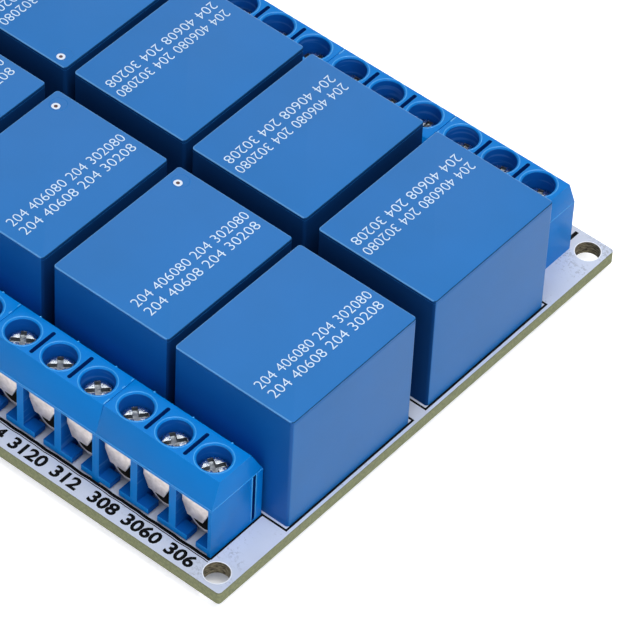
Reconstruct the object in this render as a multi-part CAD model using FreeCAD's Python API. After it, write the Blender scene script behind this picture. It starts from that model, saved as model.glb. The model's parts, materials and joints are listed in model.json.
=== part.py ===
import FreeCAD
import Part
import math
import os

# Relay module board: eight sealed relays in two rows of four, back to back, with a row of
# three-way screw terminal blocks along each long edge and the drive parts at one end.
# Millimetres. The origin is the centre of the four mounting holes, on the board's underside.
# +X runs along the long edge, away from the drive parts, and +Z is up.

# Circuit board. Its length and width follow from what stands on it.
board_thickness = 1.6
board_corner_radius = 0.4
mount_hole_diameter = 2.75
mount_hole_inset = 2.0
hole_clearance = 0.1

# Sealed relays
relays_per_row = 4
relay_width = 15.3
relay_depth = 19.1
relay_height = 15.4
relay_side_gap = 1.3
relay_row_gap = 2.9
relay_block_gap = 0.55
relay_end_inset = 0.6
relay_corner_radius = 0.5
relay_corner_sides = 3
relay_top_bevel = 0.3
cover_wall = 0.9
cover_fit = 0.05
base_thickness = 2.4
relay_pin_width = 1.0
relay_pin_thickness = 0.6
relay_pin_inset = 1.65
common_pin_setback = 2.5
coil_pin_setback = 4.5
contact_pin_setback = 2.4
# Relays soldered by hand stand a little off their grid: (x, y) for some of each row, counted
# from the +X end.
front_row_drift = {0: (0.0, -0.1), 1: (0.3, 0.1), 2: (0.2, 0.05)}
rear_row_drift = {0: (0.0, -0.2), 1: (-0.5, 0.0), 2: (-0.3, 0.2)}

# Terminal blocks
block_ways = 3
way_pitch = 5.08
block_depth = 7.7
block_height = 10.3
block_front_rise = 7.0
block_back_rise = 6.9
block_front_slope = 1.15
block_back_slope = 1.85
block_end_draft = 0.05
block_end_inset = 3.7
block_edge_inset = 2.95
pillar_width = 0.9
lintel_rise = 6.7
floor_rise = 1.05
floor_gap = 0.3
floor_depth = 1.6
floor_slit = 1.2
well_diameter = 3.6
well_setback = 3.2
well_sides = 24
slot_width = 0.45
slot_depth = 3.0
slot_front_gap = 0.4
slot_back_gap = 0.6
dovetail_inset = 1.3
dovetail_mouth = 0.55
dovetail_spread = 0.95
dovetail_depth = 0.3
dovetail_rise = 0.7
dovetail_wall = 0.3
dovetail_fit = 0.05

# Wire clamps, screws and pins inside the terminal blocks
clamp_side_gap = 0.24
clamp_ceiling_gap = 0.05
clamp_floor_gap = 0.1
clamp_back_gap = 0.3
clamp_sheet = 0.35
clamp_plate = 0.7
trough_clearance = 0.8
trough_sides = 6
tongue_front = 0.45
tongue_side_step = 0.15
tongue_tip_width = 2.0
tongue_upright = 0.65
tongue_taper = 1.65
screw_head_clearance = 0.15
screw_head_height = 2.0
screw_head_sides = 12
terminal_pin_width = 1.0
terminal_pin_gap = 0.05
pin_tail = 1.4

# Drive parts at the end of the board, one line of them for each relay
channel_edge_inset = 4.55
column_gap = 0.9
optocoupler_length = 6.5
optocoupler_width = 4.6
optocoupler_height = 3.4
optocoupler_lift = 0.3
optocoupler_bevel = 0.3
opto_leg_reach = 1.6
opto_leg_width = 0.6
opto_leg_sheet = 0.3
opto_leg_pitch = 2.54
transistor_size = (1.3, 2.9, 1.1)
diode_size = (2.6, 4.3, 2.2)
resistor_size = (1.25, 2.0, 0.55)
led_size = (1.25, 2.0, 0.8)

# Input header and supply terminal
header_ways = 10
header_pitch = 2.54
header_notch = 0.35
header_body_height = 2.54
header_pin_width = 0.64
header_pin_rise = 8.5
header_inset = 3.8
header_gap = 6.2
power_ways = 2
power_end_inset = 10.7

# How far apart two heights may be and still count as one
same_height = 1e-6

# Sizes that follow from those above
board_top = board_thickness
relay_pitch = relay_width + relay_side_gap
relay_count = 2 * relays_per_row
block_length = block_ways * way_pitch
cavity_width = way_pitch - pillar_width
cavity_depth = block_depth - dovetail_inset - dovetail_spread / 2 - dovetail_wall
dovetail_setback = block_depth - dovetail_inset
clamp_width = cavity_width - 2 * clamp_side_gap
clamp_radius = clamp_width / 2
clamp_front = floor_depth + clamp_floor_gap
clamp_length = cavity_depth - clamp_front - clamp_back_gap
clamp_top = lintel_rise - clamp_ceiling_gap
plate_underside = clamp_top - clamp_plate
tongue_width = clamp_width - 2 * tongue_side_step
tongue_shoulder_rise = plate_underside - tongue_upright
tongue_tip_rise = tongue_shoulder_rise - tongue_taper
screw_head_diameter = well_diameter - 2 * screw_head_clearance
slot_start = block_front_slope + slot_front_gap
slot_length = block_depth - block_back_slope - slot_back_gap - slot_start
opto_leg_rise = (optocoupler_lift + optocoupler_height) / 2

# The board, from its right edge: relays or blocks, whichever reach further, the columns of
# drive parts, and the supply terminal at the left edge.
relay_row_length = relay_end_inset + relays_per_row * relay_pitch - relay_side_gap
block_row_length = block_end_inset + relays_per_row * block_length + dovetail_depth
rows_length = max(relay_row_length, block_row_length)
optocoupler_span = optocoupler_length + 2 * opto_leg_reach
column_widths = (diode_size[0], transistor_size[0], optocoupler_span,
                 resistor_size[0], resistor_size[0], led_size[0])
drive_length = sum(column_widths) + column_gap * (len(column_widths) + 1)
board_length = rows_length + drive_length + block_depth + block_edge_inset
board_width = (2 * (block_edge_inset + block_depth + relay_block_gap + relay_depth)
               + relay_row_gap)
board_right = board_length / 2
board_rear = board_width / 2
block_right = board_right - block_end_inset
channel_pitch = (board_width - 2 * channel_edge_inset) / relay_count
power_length = power_ways * way_pitch
power_y = board_rear - power_end_inset - power_length / 2
header_length = header_ways * header_pitch
header_x = header_inset - board_right
header_y = power_y - power_length / 2 - header_gap - header_length / 2


def box(width, depth, height, x=0.0, y=0.0, z=0.0):
    """A box centred on x and y that stands on z."""
    corner = FreeCAD.Vector(x - width / 2, y - depth / 2, z)
    return Part.makeBox(width, depth, height, corner)


def extrude(points, run):
    """The closed outline through points, carried along run."""
    wire = Part.makePolygon(points + [points[0]])
    return Part.Face(wire).extrude(run)


def profile_along_x(outline, length):
    """An outline of (y, z) points carried along X and centred on it."""
    points = [FreeCAD.Vector(-length / 2, y, z) for y, z in outline]
    return extrude(points, FreeCAD.Vector(length, 0, 0))


def profile_along_y(outline, start, length):
    """An outline of (x, z) points carried along Y from start."""
    points = [FreeCAD.Vector(x, start, z) for x, z in outline]
    return extrude(points, FreeCAD.Vector(0, length, 0))


def profile_along_z(outline, start, height):
    """An outline of (x, y) points carried up from start."""
    points = [FreeCAD.Vector(x, y, start) for x, y in outline]
    return extrude(points, FreeCAD.Vector(0, 0, height))


def round_bar(diameter, sides, height, x=0.0, y=0.0, z=0.0):
    """A small round form, drawn with as many flats as its size needs."""
    reach = diameter / 2 / math.cos(math.pi / sides)
    turns = [2 * math.pi * (k + 0.5) / sides for k in range(sides)]
    return profile_along_z([(x + reach * math.cos(a), y + reach * math.sin(a)) for a in turns],
                           z, height)


def upright_edges(shape, reach):
    """The vertical edges that are at least reach long."""
    found = []
    for edge in shape.Edges:
        low, high = edge.BoundBox.ZMin, edge.BoundBox.ZMax
        flat = edge.BoundBox.XLength + edge.BoundBox.YLength
        if flat < same_height and high - low >= reach:
            found.append(edge)
    return found


def edges_at(shape, height):
    """The edges that lie wholly at one height."""
    return [e for e in shape.Edges if abs(e.BoundBox.ZMin - height) < same_height
            and abs(e.BoundBox.ZMax - height) < same_height]


def placed(shape, x, y, turn=0.0):
    """A copy of shape, turned about Z and moved onto the board."""
    copy = shape.copy()
    copy.rotate(FreeCAD.Vector(0, 0, 0), FreeCAD.Vector(0, 0, 1), turn)
    copy.translate(FreeCAD.Vector(x, y, board_top))
    return copy


def save(name, solids):
    """Writes one node, which may be a group of separate solids."""
    shape = solids[0] if len(solids) == 1 else Part.makeCompound(solids)
    shape.exportStep(os.path.join("parts", name + ".step"))


# Where things stand on the board: (x, y, turn) for each

def relay_row(y, turn, drift):
    """One row of relays from the +X end, each off its grid by its drift."""
    first = board_right - relay_end_inset - relay_width / 2
    places = []
    for k in range(relays_per_row):
        along, across = drift.get(k, (0.0, 0.0))
        places.append((first - k * relay_pitch + along, y + across, turn))
    return places


def relay_places():
    """The relays, front row first, with contacts towards the nearest long edge."""
    middle = (relay_row_gap + relay_depth) / 2
    return relay_row(-middle, 0, front_row_drift) + relay_row(middle, 180, rear_row_drift)


def block_places():
    """The terminal blocks, with their wire side outwards."""
    edge = board_rear - block_edge_inset
    centres = [block_right - (k + 0.5) * block_length for k in range(relays_per_row)]
    return [(x, -edge, 0) for x in centres] + [(x, edge, 180) for x in centres]


def power_place():
    """The supply terminal, which faces out over the short edge."""
    return (block_edge_inset - board_right, power_y, -90)


def channel_rows():
    """Where each relay's line of drive parts lies along Y."""
    return [(k - (relay_count - 1) / 2) * channel_pitch for k in range(relay_count)]


def column_centres():
    """Where the columns of drive parts stand along X, from the relays to the supply terminal."""
    centres = []
    reach = board_right - rows_length
    for width in column_widths:
        reach -= column_gap
        centres.append(reach - width / 2)
        reach -= width
    return centres


def way_centres(ways):
    """Where the ways of a block lie along it, from its middle."""
    return [(k - (ways - 1) / 2) * way_pitch for k in range(ways)]


def turned(point, place):
    """A point of a part's own frame, on the board."""
    x, y, turn = place
    angle = math.radians(turn)
    along, across = point
    return (x + along * math.cos(angle) - across * math.sin(angle),
            y + along * math.sin(angle) + across * math.cos(angle))


# Relays

def relay_pin_points():
    """The common pin, two coil pins and two contact pins, from the relay's centre."""
    inner = relay_depth / 2
    side = relay_width / 2 - relay_pin_inset
    return [(0, inner - common_pin_setback),
            (-side, inner - coil_pin_setback), (side, inner - coil_pin_setback),
            (-side, contact_pin_setback - inner), (side, contact_pin_setback - inner)]


def cover_outline():
    """The cap seen from above, with a few flats round each corner."""
    points = []
    for quarter, (along, across) in enumerate([(1, 1), (-1, 1), (-1, -1), (1, -1)]):
        x = along * (relay_width / 2 - relay_corner_radius)
        y = across * (relay_depth / 2 - relay_corner_radius)
        for k in range(relay_corner_sides + 1):
            angle = math.pi / 2 * (quarter + k / relay_corner_sides)
            points.append((x + relay_corner_radius * math.cos(angle),
                           y + relay_corner_radius * math.sin(angle)))
    return points


def relay_cover():
    """The moulded cap: a shell open at the bottom, with rounded corners and a broken top edge."""
    outer = profile_along_z(cover_outline(), 0, relay_height)
    outer = outer.makeChamfer(relay_top_bevel, edges_at(outer, relay_height))
    inside = box(relay_width - 2 * cover_wall, relay_depth - 2 * cover_wall,
                 relay_height - cover_wall)
    return outer.cut(inside)


def relay_base():
    """The plug that closes the cap and carries the pins."""
    inset = 2 * (cover_wall + cover_fit)
    return box(relay_width - inset, relay_depth - inset, base_thickness)


def relay_pin_set():
    """Flat pins from the base through the board to the solder side."""
    length = board_thickness + pin_tail
    return [box(relay_pin_width, relay_pin_thickness, length, x, y, -length)
            for x, y in relay_pin_points()]


# Terminal blocks

def block_body(ways):
    """The outer form: a sloped front and back and ends that lean in above the shoulder."""
    side = profile_along_x([(0, 0), (0, block_front_rise), (block_front_slope, block_height),
                            (block_depth - block_back_slope, block_height),
                            (block_depth, block_back_rise), (block_depth, 0)],
                           ways * way_pitch)
    half = ways * way_pitch / 2
    front = profile_along_y([(-half, 0), (-half, block_front_rise),
                             (-half + block_end_draft, block_height),
                             (half - block_end_draft, block_height),
                             (half, block_front_rise), (half, 0)], 0, block_depth)
    return side.common(front)


def dovetail(fit, x):
    """The plan of a dovetail up the end of a block, which widens away from x towards -X."""
    mouth = dovetail_mouth / 2 - fit
    spread = dovetail_spread / 2 - fit
    tip = x - dovetail_depth + fit
    return [(x, dovetail_setback - mouth), (tip, dovetail_setback - spread),
            (tip, dovetail_setback + spread), (x, dovetail_setback + mouth)]


def terminal_block(ways):
    """One moulded housing: wells, wire entries over a raised slit floor, slots, dovetails."""
    body = block_body(ways)
    half = ways * way_pitch / 2
    cuts = [box(2 * half - pillar_width, floor_depth, floor_gap, 0, floor_depth / 2)]
    for x in way_centres(ways):
        cuts.append(round_bar(well_diameter, well_sides, block_height, x, well_setback,
                              plate_underside))
        entry = box(cavity_width, cavity_depth, lintel_rise, x, cavity_depth / 2)
        plate = box(cavity_width, floor_depth, floor_rise, x, floor_depth / 2)
        slit = box(floor_slit, floor_depth, floor_rise, x, floor_depth / 2)
        cuts.append(entry.cut(plate.cut(slit)))
    for k in range(1, ways):
        cuts.append(box(slot_width, slot_length, 2 * slot_depth, k * way_pitch - half,
                        slot_start + slot_length / 2, block_height - slot_depth))
    cuts.append(profile_along_z(dovetail(0, half), 0, block_back_rise))
    rib = profile_along_z(dovetail(dovetail_fit, -half), dovetail_rise,
                          block_back_rise - dovetail_fit - dovetail_rise)
    return body.cut(cuts).fuse(rib).removeSplitter()


def wire_clamp(x):
    """A bent strip: a trough under the wire, a threaded plate over it and a tongue in front."""
    centre = trough_clearance + clamp_radius
    arc = [math.pi * (1 + k / trough_sides) for k in range(trough_sides + 1)]
    outer = [(clamp_radius * math.cos(a), centre + clamp_radius * math.sin(a)) for a in arc]
    inner = [((clamp_radius - clamp_sheet) * math.cos(a),
              centre + (clamp_radius - clamp_sheet) * math.sin(a)) for a in reversed(arc)]
    under = plate_underside
    outline = ([(-clamp_radius, under)] + outer + [(clamp_radius, under)]
               + [(clamp_radius - clamp_sheet, under)] + inner
               + [(clamp_sheet - clamp_radius, under)])
    trough = profile_along_y(outline, clamp_front, clamp_length)
    reach = clamp_front + clamp_length - tongue_front
    plate = box(clamp_width, reach, clamp_plate, 0, tongue_front + reach / 2, under)
    tongue = profile_along_y([(-tongue_width / 2, under), (-tongue_width / 2, tongue_shoulder_rise),
                              (-tongue_tip_width / 2, tongue_tip_rise),
                              (tongue_tip_width / 2, tongue_tip_rise),
                              (tongue_width / 2, tongue_shoulder_rise), (tongue_width / 2, under)],
                             tongue_front, clamp_sheet)
    clamp = trough.fuse([plate, tongue]).removeSplitter()
    clamp.translate(FreeCAD.Vector(x, 0, 0))
    return clamp


def terminal_screw(x):
    """A cheese-head screw, driven home on the clamp's plate."""
    return round_bar(screw_head_diameter, screw_head_sides, screw_head_height, x, well_setback,
                     clamp_top)


def terminal_pin(x):
    """The square pin under a clamp, through the board to the solder side."""
    top = trough_clearance - terminal_pin_gap
    length = top + board_thickness + pin_tail
    return box(terminal_pin_width, terminal_pin_width, length, x, well_setback, top - length)


# Drive parts

def optocoupler_body():
    outline = [(-optocoupler_length / 2, optocoupler_lift),
               (-optocoupler_length / 2, optocoupler_height - optocoupler_bevel),
               (-optocoupler_length / 2 + optocoupler_bevel, optocoupler_height),
               (optocoupler_length / 2, optocoupler_height),
               (optocoupler_length / 2, optocoupler_lift)]
    return profile_along_y(outline, -optocoupler_width / 2, optocoupler_width)


def optocoupler_leg(side, y):
    """A gull-wing leg that leaves the body at half height and turns out onto the board."""
    wall = side * optocoupler_length / 2
    bend = wall + side * opto_leg_sheet
    toe = wall + side * opto_leg_reach
    outline = [(wall, opto_leg_rise), (bend, opto_leg_rise), (bend, opto_leg_sheet),
               (toe, opto_leg_sheet), (toe, 0), (wall, 0)]
    return profile_along_y(outline, y - opto_leg_width / 2, opto_leg_width)


def header_pin_rows():
    """Where the header's pins stand along Y, from its middle."""
    return [(k - (header_ways - 1) / 2) * header_pitch for k in range(header_ways)]


def header_body():
    """A strip with a notch on both sides between one pin and the next."""
    side = header_pitch / 2
    edge = []
    for y in header_pin_rows():
        edge += [(side - header_notch, y - side), (side, y - side + header_notch),
                 (side, y + side - header_notch)]
    edge.append((side - header_notch, header_length / 2))
    mirrored = [(-x, y) for x, y in reversed(edge)]
    strip = profile_along_z(edge + mirrored, 0, header_body_height)
    return strip.cut([header_pin(y) for y in header_pin_rows()])


def header_pin(y):
    length = header_pin_rise + board_thickness + pin_tail
    return box(header_pin_width, header_pin_width, length, 0, y, header_pin_rise - length)


def on_channels(size, x):
    """One small part of that size on each channel's line."""
    return [box(*size, x, y, board_top) for y in channel_rows()]


# The board itself, drilled for every pin that passes through it

def pin_hole(point, width, depth, turn):
    """A pin's hole, drawn as a rectangle a little clear of the pin all round."""
    if turn % 180:
        width, depth = depth, width
    slack = 2 * hole_clearance
    return box(width + slack, depth + slack, board_thickness, point[0], point[1])


def circuit_board():
    board = box(board_length, board_width, board_thickness)
    board = board.makeFillet(board_corner_radius, upright_edges(board, board_thickness))
    holes = []
    for x in (mount_hole_inset - board_right, board_right - mount_hole_inset):
        for y in (mount_hole_inset - board_rear, board_rear - mount_hole_inset):
            holes.append(Part.makeCylinder(mount_hole_diameter / 2, board_thickness,
                                           FreeCAD.Vector(x, y, 0)))
    for place in relay_places():
        for point in relay_pin_points():
            holes.append(pin_hole(turned(point, place), relay_pin_width, relay_pin_thickness,
                                  place[2]))
    for place, ways in ([(p, block_ways) for p in block_places()]
                        + [(power_place(), power_ways)]):
        for x in way_centres(ways):
            holes.append(pin_hole(turned((x, well_setback), place), terminal_pin_width,
                                  terminal_pin_width, place[2]))
    for y in header_pin_rows():
        holes.append(pin_hole((header_x, header_y + y), header_pin_width, header_pin_width, 0))
    return board.cut(holes)


def build():
    os.makedirs("parts", exist_ok=True)
    save("circuit_board", [circuit_board()])

    cover, base, pins = relay_cover(), relay_base(), relay_pin_set()
    for number, place in enumerate(relay_places(), 1):
        save("relay_cover_%d" % number, [placed(cover, *place)])
        save("relay_base_%d" % number, [placed(base, *place)])
        save("relay_pins_%d" % number, [placed(pin, *place) for pin in pins])

    block = terminal_block(block_ways)
    clamps = [wire_clamp(x) for x in way_centres(block_ways)]
    screws, posts = [], []
    for number, place in enumerate(block_places(), 1):
        save("terminal_block_%d" % number, [placed(block, *place)])
        save("wire_clamps_%d" % number, [placed(clamp, *place) for clamp in clamps])
        for x in way_centres(block_ways):
            screws.append(placed(terminal_screw(x), *place))
            posts.append(placed(terminal_pin(x), *place))
    save("power_block", [placed(terminal_block(power_ways), *power_place())])
    save("power_clamps", [placed(wire_clamp(x), *power_place()) for x in way_centres(power_ways)])
    for x in way_centres(power_ways):
        screws.append(placed(terminal_screw(x), *power_place()))
        posts.append(placed(terminal_pin(x), *power_place()))
    save("terminal_screws", screws)
    save("terminal_pins", posts)

    save("input_header", [placed(header_body(), header_x, header_y)])
    save("header_pins", [placed(header_pin(y), header_x, header_y) for y in header_pin_rows()])

    diode_x, transistor_x, optocoupler_x, *resistor_columns, led_x = column_centres()
    rows = channel_rows()
    save("optocouplers", [placed(optocoupler_body(), optocoupler_x, y) for y in rows])
    legs = [optocoupler_leg(side, offset) for side in (-1, 1)
            for offset in (-opto_leg_pitch / 2, opto_leg_pitch / 2)]
    save("optocoupler_legs", [placed(leg, optocoupler_x, y) for y in rows for leg in legs])
    save("transistors", on_channels(transistor_size, transistor_x))
    save("flyback_diodes", on_channels(diode_size, diode_x))
    save("resistors", [part for x in resistor_columns
                       for part in on_channels(resistor_size, x)])
    save("status_leds", on_channels(led_size, led_x))


build()
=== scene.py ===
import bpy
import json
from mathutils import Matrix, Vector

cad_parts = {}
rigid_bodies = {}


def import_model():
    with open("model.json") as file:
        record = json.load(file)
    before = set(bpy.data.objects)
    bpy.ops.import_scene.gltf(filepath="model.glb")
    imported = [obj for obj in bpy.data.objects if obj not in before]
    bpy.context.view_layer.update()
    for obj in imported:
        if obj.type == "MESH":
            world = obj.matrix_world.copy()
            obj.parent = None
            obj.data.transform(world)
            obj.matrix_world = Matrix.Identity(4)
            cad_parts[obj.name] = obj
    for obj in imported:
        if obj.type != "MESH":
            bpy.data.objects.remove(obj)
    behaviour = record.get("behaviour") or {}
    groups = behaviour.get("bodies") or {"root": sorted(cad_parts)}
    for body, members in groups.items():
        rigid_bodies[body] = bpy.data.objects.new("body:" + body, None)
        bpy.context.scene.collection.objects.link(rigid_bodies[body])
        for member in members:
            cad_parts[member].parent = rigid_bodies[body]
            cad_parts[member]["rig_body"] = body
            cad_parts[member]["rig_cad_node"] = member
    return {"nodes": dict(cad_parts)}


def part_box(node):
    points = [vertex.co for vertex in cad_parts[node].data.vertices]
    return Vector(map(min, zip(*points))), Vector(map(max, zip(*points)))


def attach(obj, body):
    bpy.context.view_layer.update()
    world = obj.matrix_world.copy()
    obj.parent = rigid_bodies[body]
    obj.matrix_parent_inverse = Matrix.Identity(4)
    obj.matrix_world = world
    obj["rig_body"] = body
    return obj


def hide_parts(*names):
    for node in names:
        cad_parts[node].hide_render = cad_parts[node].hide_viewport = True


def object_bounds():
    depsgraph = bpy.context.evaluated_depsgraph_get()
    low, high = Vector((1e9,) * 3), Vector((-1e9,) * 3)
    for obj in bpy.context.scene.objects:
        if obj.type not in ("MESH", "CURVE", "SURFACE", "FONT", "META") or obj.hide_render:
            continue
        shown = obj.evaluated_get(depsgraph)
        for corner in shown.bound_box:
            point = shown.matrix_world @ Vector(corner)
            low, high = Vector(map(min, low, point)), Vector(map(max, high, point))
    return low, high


bl_info = {
    "name": "Relay module board",
    "version": (1, 0, 0),
    "blender": (4, 5, 0),
    "location": "3D View > Sidebar > Relay board",
    "description": "Dresses a relay module board with its mouldings, metalwork and print",
    "category": "Object",
}

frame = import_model()
cad_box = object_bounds()

import json
import math

import bmesh
import bpy
from bpy.props import FloatProperty, PointerProperty, StringProperty
from mathutils import Matrix, Vector

MM = 0.001
ON_PLANE = 1e-7  # metres; a vertex this near to a cutting plane lies on it
RELAYS = range(1, 9)
BOARD_LOW, BOARD_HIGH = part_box("circuit_board")
BOARD_TOP = BOARD_HIGH.z


# Sizes and colours that a user would change

def length(name, description, default):
    """A length that is shown and typed in the scene's unit."""
    return FloatProperty(name=name, description=description, default=default * MM,
                         unit="LENGTH", precision=5)


def tint(name, description, default):
    """A colour, written as sRGB hex."""
    return StringProperty(name=name, description=description, default=default)


class RelayLook(bpy.types.PropertyGroup):
    corner: length("Corner radius", "Round of the cap's upright edges", 0.38)
    top_round: length("Top round", "Round of the cap's top edge", 0.11)
    wall: length("Wall", "Thickness of the cap", 0.9)
    seam_drop: length("Seam drop", "How far the mould line lies below the top", 0.36)
    print_height: length("Print height", "Height of the printed figures", 1.22)
    print_length: length("Print length", "Length of a printed line", 17.1)
    print_setback: length("Print setback", "From the contact side to the first figure", 1.3)
    shell: tint("Cap", "Moulded cap", "#1D70BA")
    ink: tint("Ink", "Printed figures", "#CFE4F8")


class TerminalLook(bpy.types.PropertyGroup):
    pitch: length("Pitch", "From one way to the next", 5.08)
    front_rise: length("Front rise", "Height where the front starts to slope", 7.0)
    back_rise: length("Back rise", "Height where the back starts to slope", 6.9)
    front_slope: length("Front slope", "How far the front leans in", 1.15)
    back_slope: length("Back slope", "How far the back leans in", 1.85)
    end_draft: length("End draft", "How far the ends lean in", 0.05)
    pillar: length("Pillar", "Wall between two wire entries", 0.9)
    lintel: length("Lintel", "Height of the wire entries", 6.7)
    cavity: length("Cavity", "Depth of the wire entries", 5.625)
    floor_depth: length("Floor depth", "Depth of the floor plates", 1.6)
    floor_top: length("Floor top", "Height of the floor plates' upper side", 1.05)
    floor_gap: length("Floor gap", "Gap between the floor plates and the board", 0.3)
    slit: length("Slit", "Gap between the floor plates", 1.2)
    well: length("Well", "Width of a screw well", 3.56)
    well_back: length("Well setback", "From the wire side to a well's middle", 3.2)
    countersink: length("Countersink", "Width of the chamfer at a well's rim", 0.12)
    skin: length("Skin depth", "How far in the mould cores' finish begins", 0.09)
    slot_depth: length("Slot depth", "Depth of the slots between two wells", 3.0)
    round: length("Edge round", "Round of the moulded edges", 0.085)
    shell: tint("Housing", "Moulded housing", "#007ED6")


class BoardLook(bpy.types.PropertyGroup):
    hole_inset: length("Hole inset", "From an edge to a mounting hole's middle", 2.0)
    hole: length("Hole", "Width of a mounting hole", 2.75)
    lip: length("Lip", "Width of the bright lip round a hole", 0.11)
    label_height: length("Label height", "Height of the edge labels", 1.5)
    mask: tint("Solder mask", "Board face", "#CAD3E6")
    core: tint("Core", "Glass-fibre edge", "#8A8F6B")


def power(name, description, default):
    """The power of a lamp."""
    return FloatProperty(name=name, description=description, default=default, unit="POWER")


class StageLook(bpy.types.PropertyGroup):
    overhead: power("Overhead lamp", "Power of the lamp above", 2.76)
    side: power("Side lamp", "Power of the lamp at the right", 0.6)
    back: power("Back lamp", "Power of the lamp behind, at the left", 0.7)
    front: power("Front lamp", "Power of the lamp in front", 0.66)
    room: FloatProperty(name="Room", description="Even light from all round", default=0.1)


GROUPS = {"relay_look": RelayLook, "terminal_look": TerminalLook, "board_look": BoardLook,
          "stage_look": StageLook}


# Working by hand, in code

def only(obj):
    """Selects one object and nothing else."""
    bpy.ops.object.select_all(action="DESELECT")
    obj.select_set(True)
    bpy.context.view_layer.objects.active = obj


def made(name):
    """The object that an operator has just added, under its name."""
    obj = bpy.context.active_object
    obj.name = name
    obj.data.name = name
    return obj


def settle(obj):
    """Puts an object's place into its mesh."""
    only(obj)
    bpy.ops.object.transform_apply(location=True, rotation=True, scale=True)
    return obj


def block(name, low, high, edge=None):
    """A box between two corners, with its edges rounded if asked."""
    low, high = Vector(low), Vector(high)
    bpy.ops.mesh.primitive_cube_add(size=1, location=(low + high) / 2, scale=high - low)
    box = settle(made(name))
    return rounded(box, edge) if edge else box


def rod(name, radius, low, high, sides=48):
    """An upright round bar from low to high."""
    low, high = Vector(low), Vector(high)
    bpy.ops.mesh.primitive_cylinder_add(vertices=sides, radius=radius, depth=(high - low).z,
                                        location=(low + high) / 2)
    return settle(made(name))


def finish(obj, kind, **settings):
    """Adds a modifier and applies it."""
    only(obj)
    added = obj.modifiers.new(kind.title(), kind)
    for key, value in settings.items():
        setattr(added, key, value)
    bpy.ops.object.modifier_apply(modifier=added.name)
    return obj


def cut(obj, *tools):
    """Takes each tool's shape out of obj."""
    for tool in tools:
        finish(obj, "BOOLEAN", operation="DIFFERENCE", solver="EXACT", object=tool)
        bpy.data.objects.remove(tool)
    return obj


def joined(name, parts):
    """Several parts as one object."""
    bpy.ops.object.select_all(action="DESELECT")
    for part in parts:
        part.select_set(True)
    bpy.context.view_layer.objects.active = parts[0]
    if len(parts) > 1:
        bpy.ops.object.join()
    return made(name)


def open_mesh(obj, action="SELECT"):
    """Opens edit mode with everything picked, or nothing."""
    only(obj)
    bpy.ops.object.mode_set(mode="EDIT")
    bpy.ops.mesh.select_all(action=action)


def done():
    """Closes edit mode."""
    bpy.ops.object.mode_set(mode="OBJECT")


def outward():
    """Turns every face of the open mesh to the outside."""
    bpy.ops.mesh.select_all(action="SELECT")
    bpy.ops.mesh.normals_make_consistent(inside=False)


def editing(obj, faces=None, edges=None):
    """Opens edit mode with the faces or edges picked that a test accepts."""
    open_mesh(obj, "DESELECT")
    bpy.ops.mesh.select_mode(type="FACE" if faces else "EDGE")
    mesh = bmesh.from_edit_mesh(obj.data)
    for item in mesh.faces if faces else mesh.edges:
        if (faces or edges)(item):
            item.select_set(True)
    mesh.select_flush_mode()
    bmesh.update_edit_mesh(obj.data)


def bevelled(obj, test, width, segments):
    """Rounds the edges that a test accepts."""
    editing(obj, edges=test)
    bpy.ops.mesh.bevel(offset=width, segments=segments, affect="EDGES")
    done()
    return obj


def rising(length):
    """A test for edges that rise by more than a length."""
    return lambda edge: abs(edge.verts[0].co.z - edge.verts[1].co.z) > length


def above(height):
    """A test for edges that lie above a height."""
    return lambda edge: min(vert.co.z for vert in edge.verts) > height


def slice_off(obj, point, normal):
    """Saws off what lies outside a plane, and closes the cut."""
    open_mesh(obj)
    bpy.ops.mesh.bisect(plane_co=point, plane_no=Vector(normal).normalized(), use_fill=True,
                        clear_outer=True, threshold=ON_PLANE)
    outward()
    done()


def score(obj, points, normal):
    """Draws new edges across a mesh where planes through the points cross it."""
    open_mesh(obj)
    for point in points:
        bpy.ops.mesh.select_all(action="SELECT")
        bpy.ops.mesh.bisect(plane_co=point, plane_no=normal, threshold=ON_PLANE)
    done()


def smooth(obj, degrees=32):
    """Shades smooth, except over edges sharper than an angle."""
    only(obj)
    bpy.ops.object.shade_smooth_by_angle(angle=math.radians(degrees))
    return obj


def rounded(obj, width, degrees=35, segments=2, edge_highlight=False):
    """Breaks every edge sharper than an angle; a second finish, if given, goes on the round as a
    painted highlight.
    """
    if edge_highlight:
        painted(obj, *edge_highlight)
    finish(obj, "BEVEL", width=width, segments=segments, limit_method="ANGLE",
           angle_limit=math.radians(degrees), use_clamp_overlap=True,
           material=1 if edge_highlight else -1)
    return smooth(obj)


def copied(obj, name, x, y, turn=0.0, z=0.0):
    """A copy with a mesh of its own, turned about Z and set down at a place."""
    twin = obj.copy()
    twin.data = obj.data.copy()
    bpy.context.scene.collection.objects.link(twin)
    twin.name = twin.data.name = name
    twin.rotation_euler = (0, 0, turn)
    twin.location = (x, y, z)
    return settle(twin)


def hoop(name, radius, thick, place, squash, around=64, across=8):
    """A ring that lies flat, pressed to a share of its height."""
    bpy.ops.mesh.primitive_torus_add(major_segments=around, minor_segments=across,
                                     location=place, major_radius=radius, minor_radius=thick)
    ring = made(name)
    ring.scale = (1, 1, squash)
    return smooth(settle(ring), 60)


def span(start, way, near, far):
    """Two places, given in mm along a way from start, the lower one first."""
    return sorted((start + way * near * MM, start + way * far * MM))


def discard(*objs):
    """Deletes patterns that have been copied."""
    for obj in objs:
        bpy.data.objects.remove(obj)


def painted(obj, *keys):
    """Adds finishes, by their names."""
    for key in keys:
        obj.data.materials.append(material(key))
    return obj


def fit(obj, key, slot, *nodes):
    """Gives a piece its finish, its body and the CAD nodes that it stands for."""
    if key:
        obj.data.materials.clear()
        painted(obj, key)
    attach(obj, "root")
    if nodes:
        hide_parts(*nodes)
    return obj


def finish_node(name, key):
    """Gives a CAD node that stays its finish."""
    mesh = frame["nodes"][name].data
    mesh.materials.clear()
    mesh.materials.append(material(key))


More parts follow.
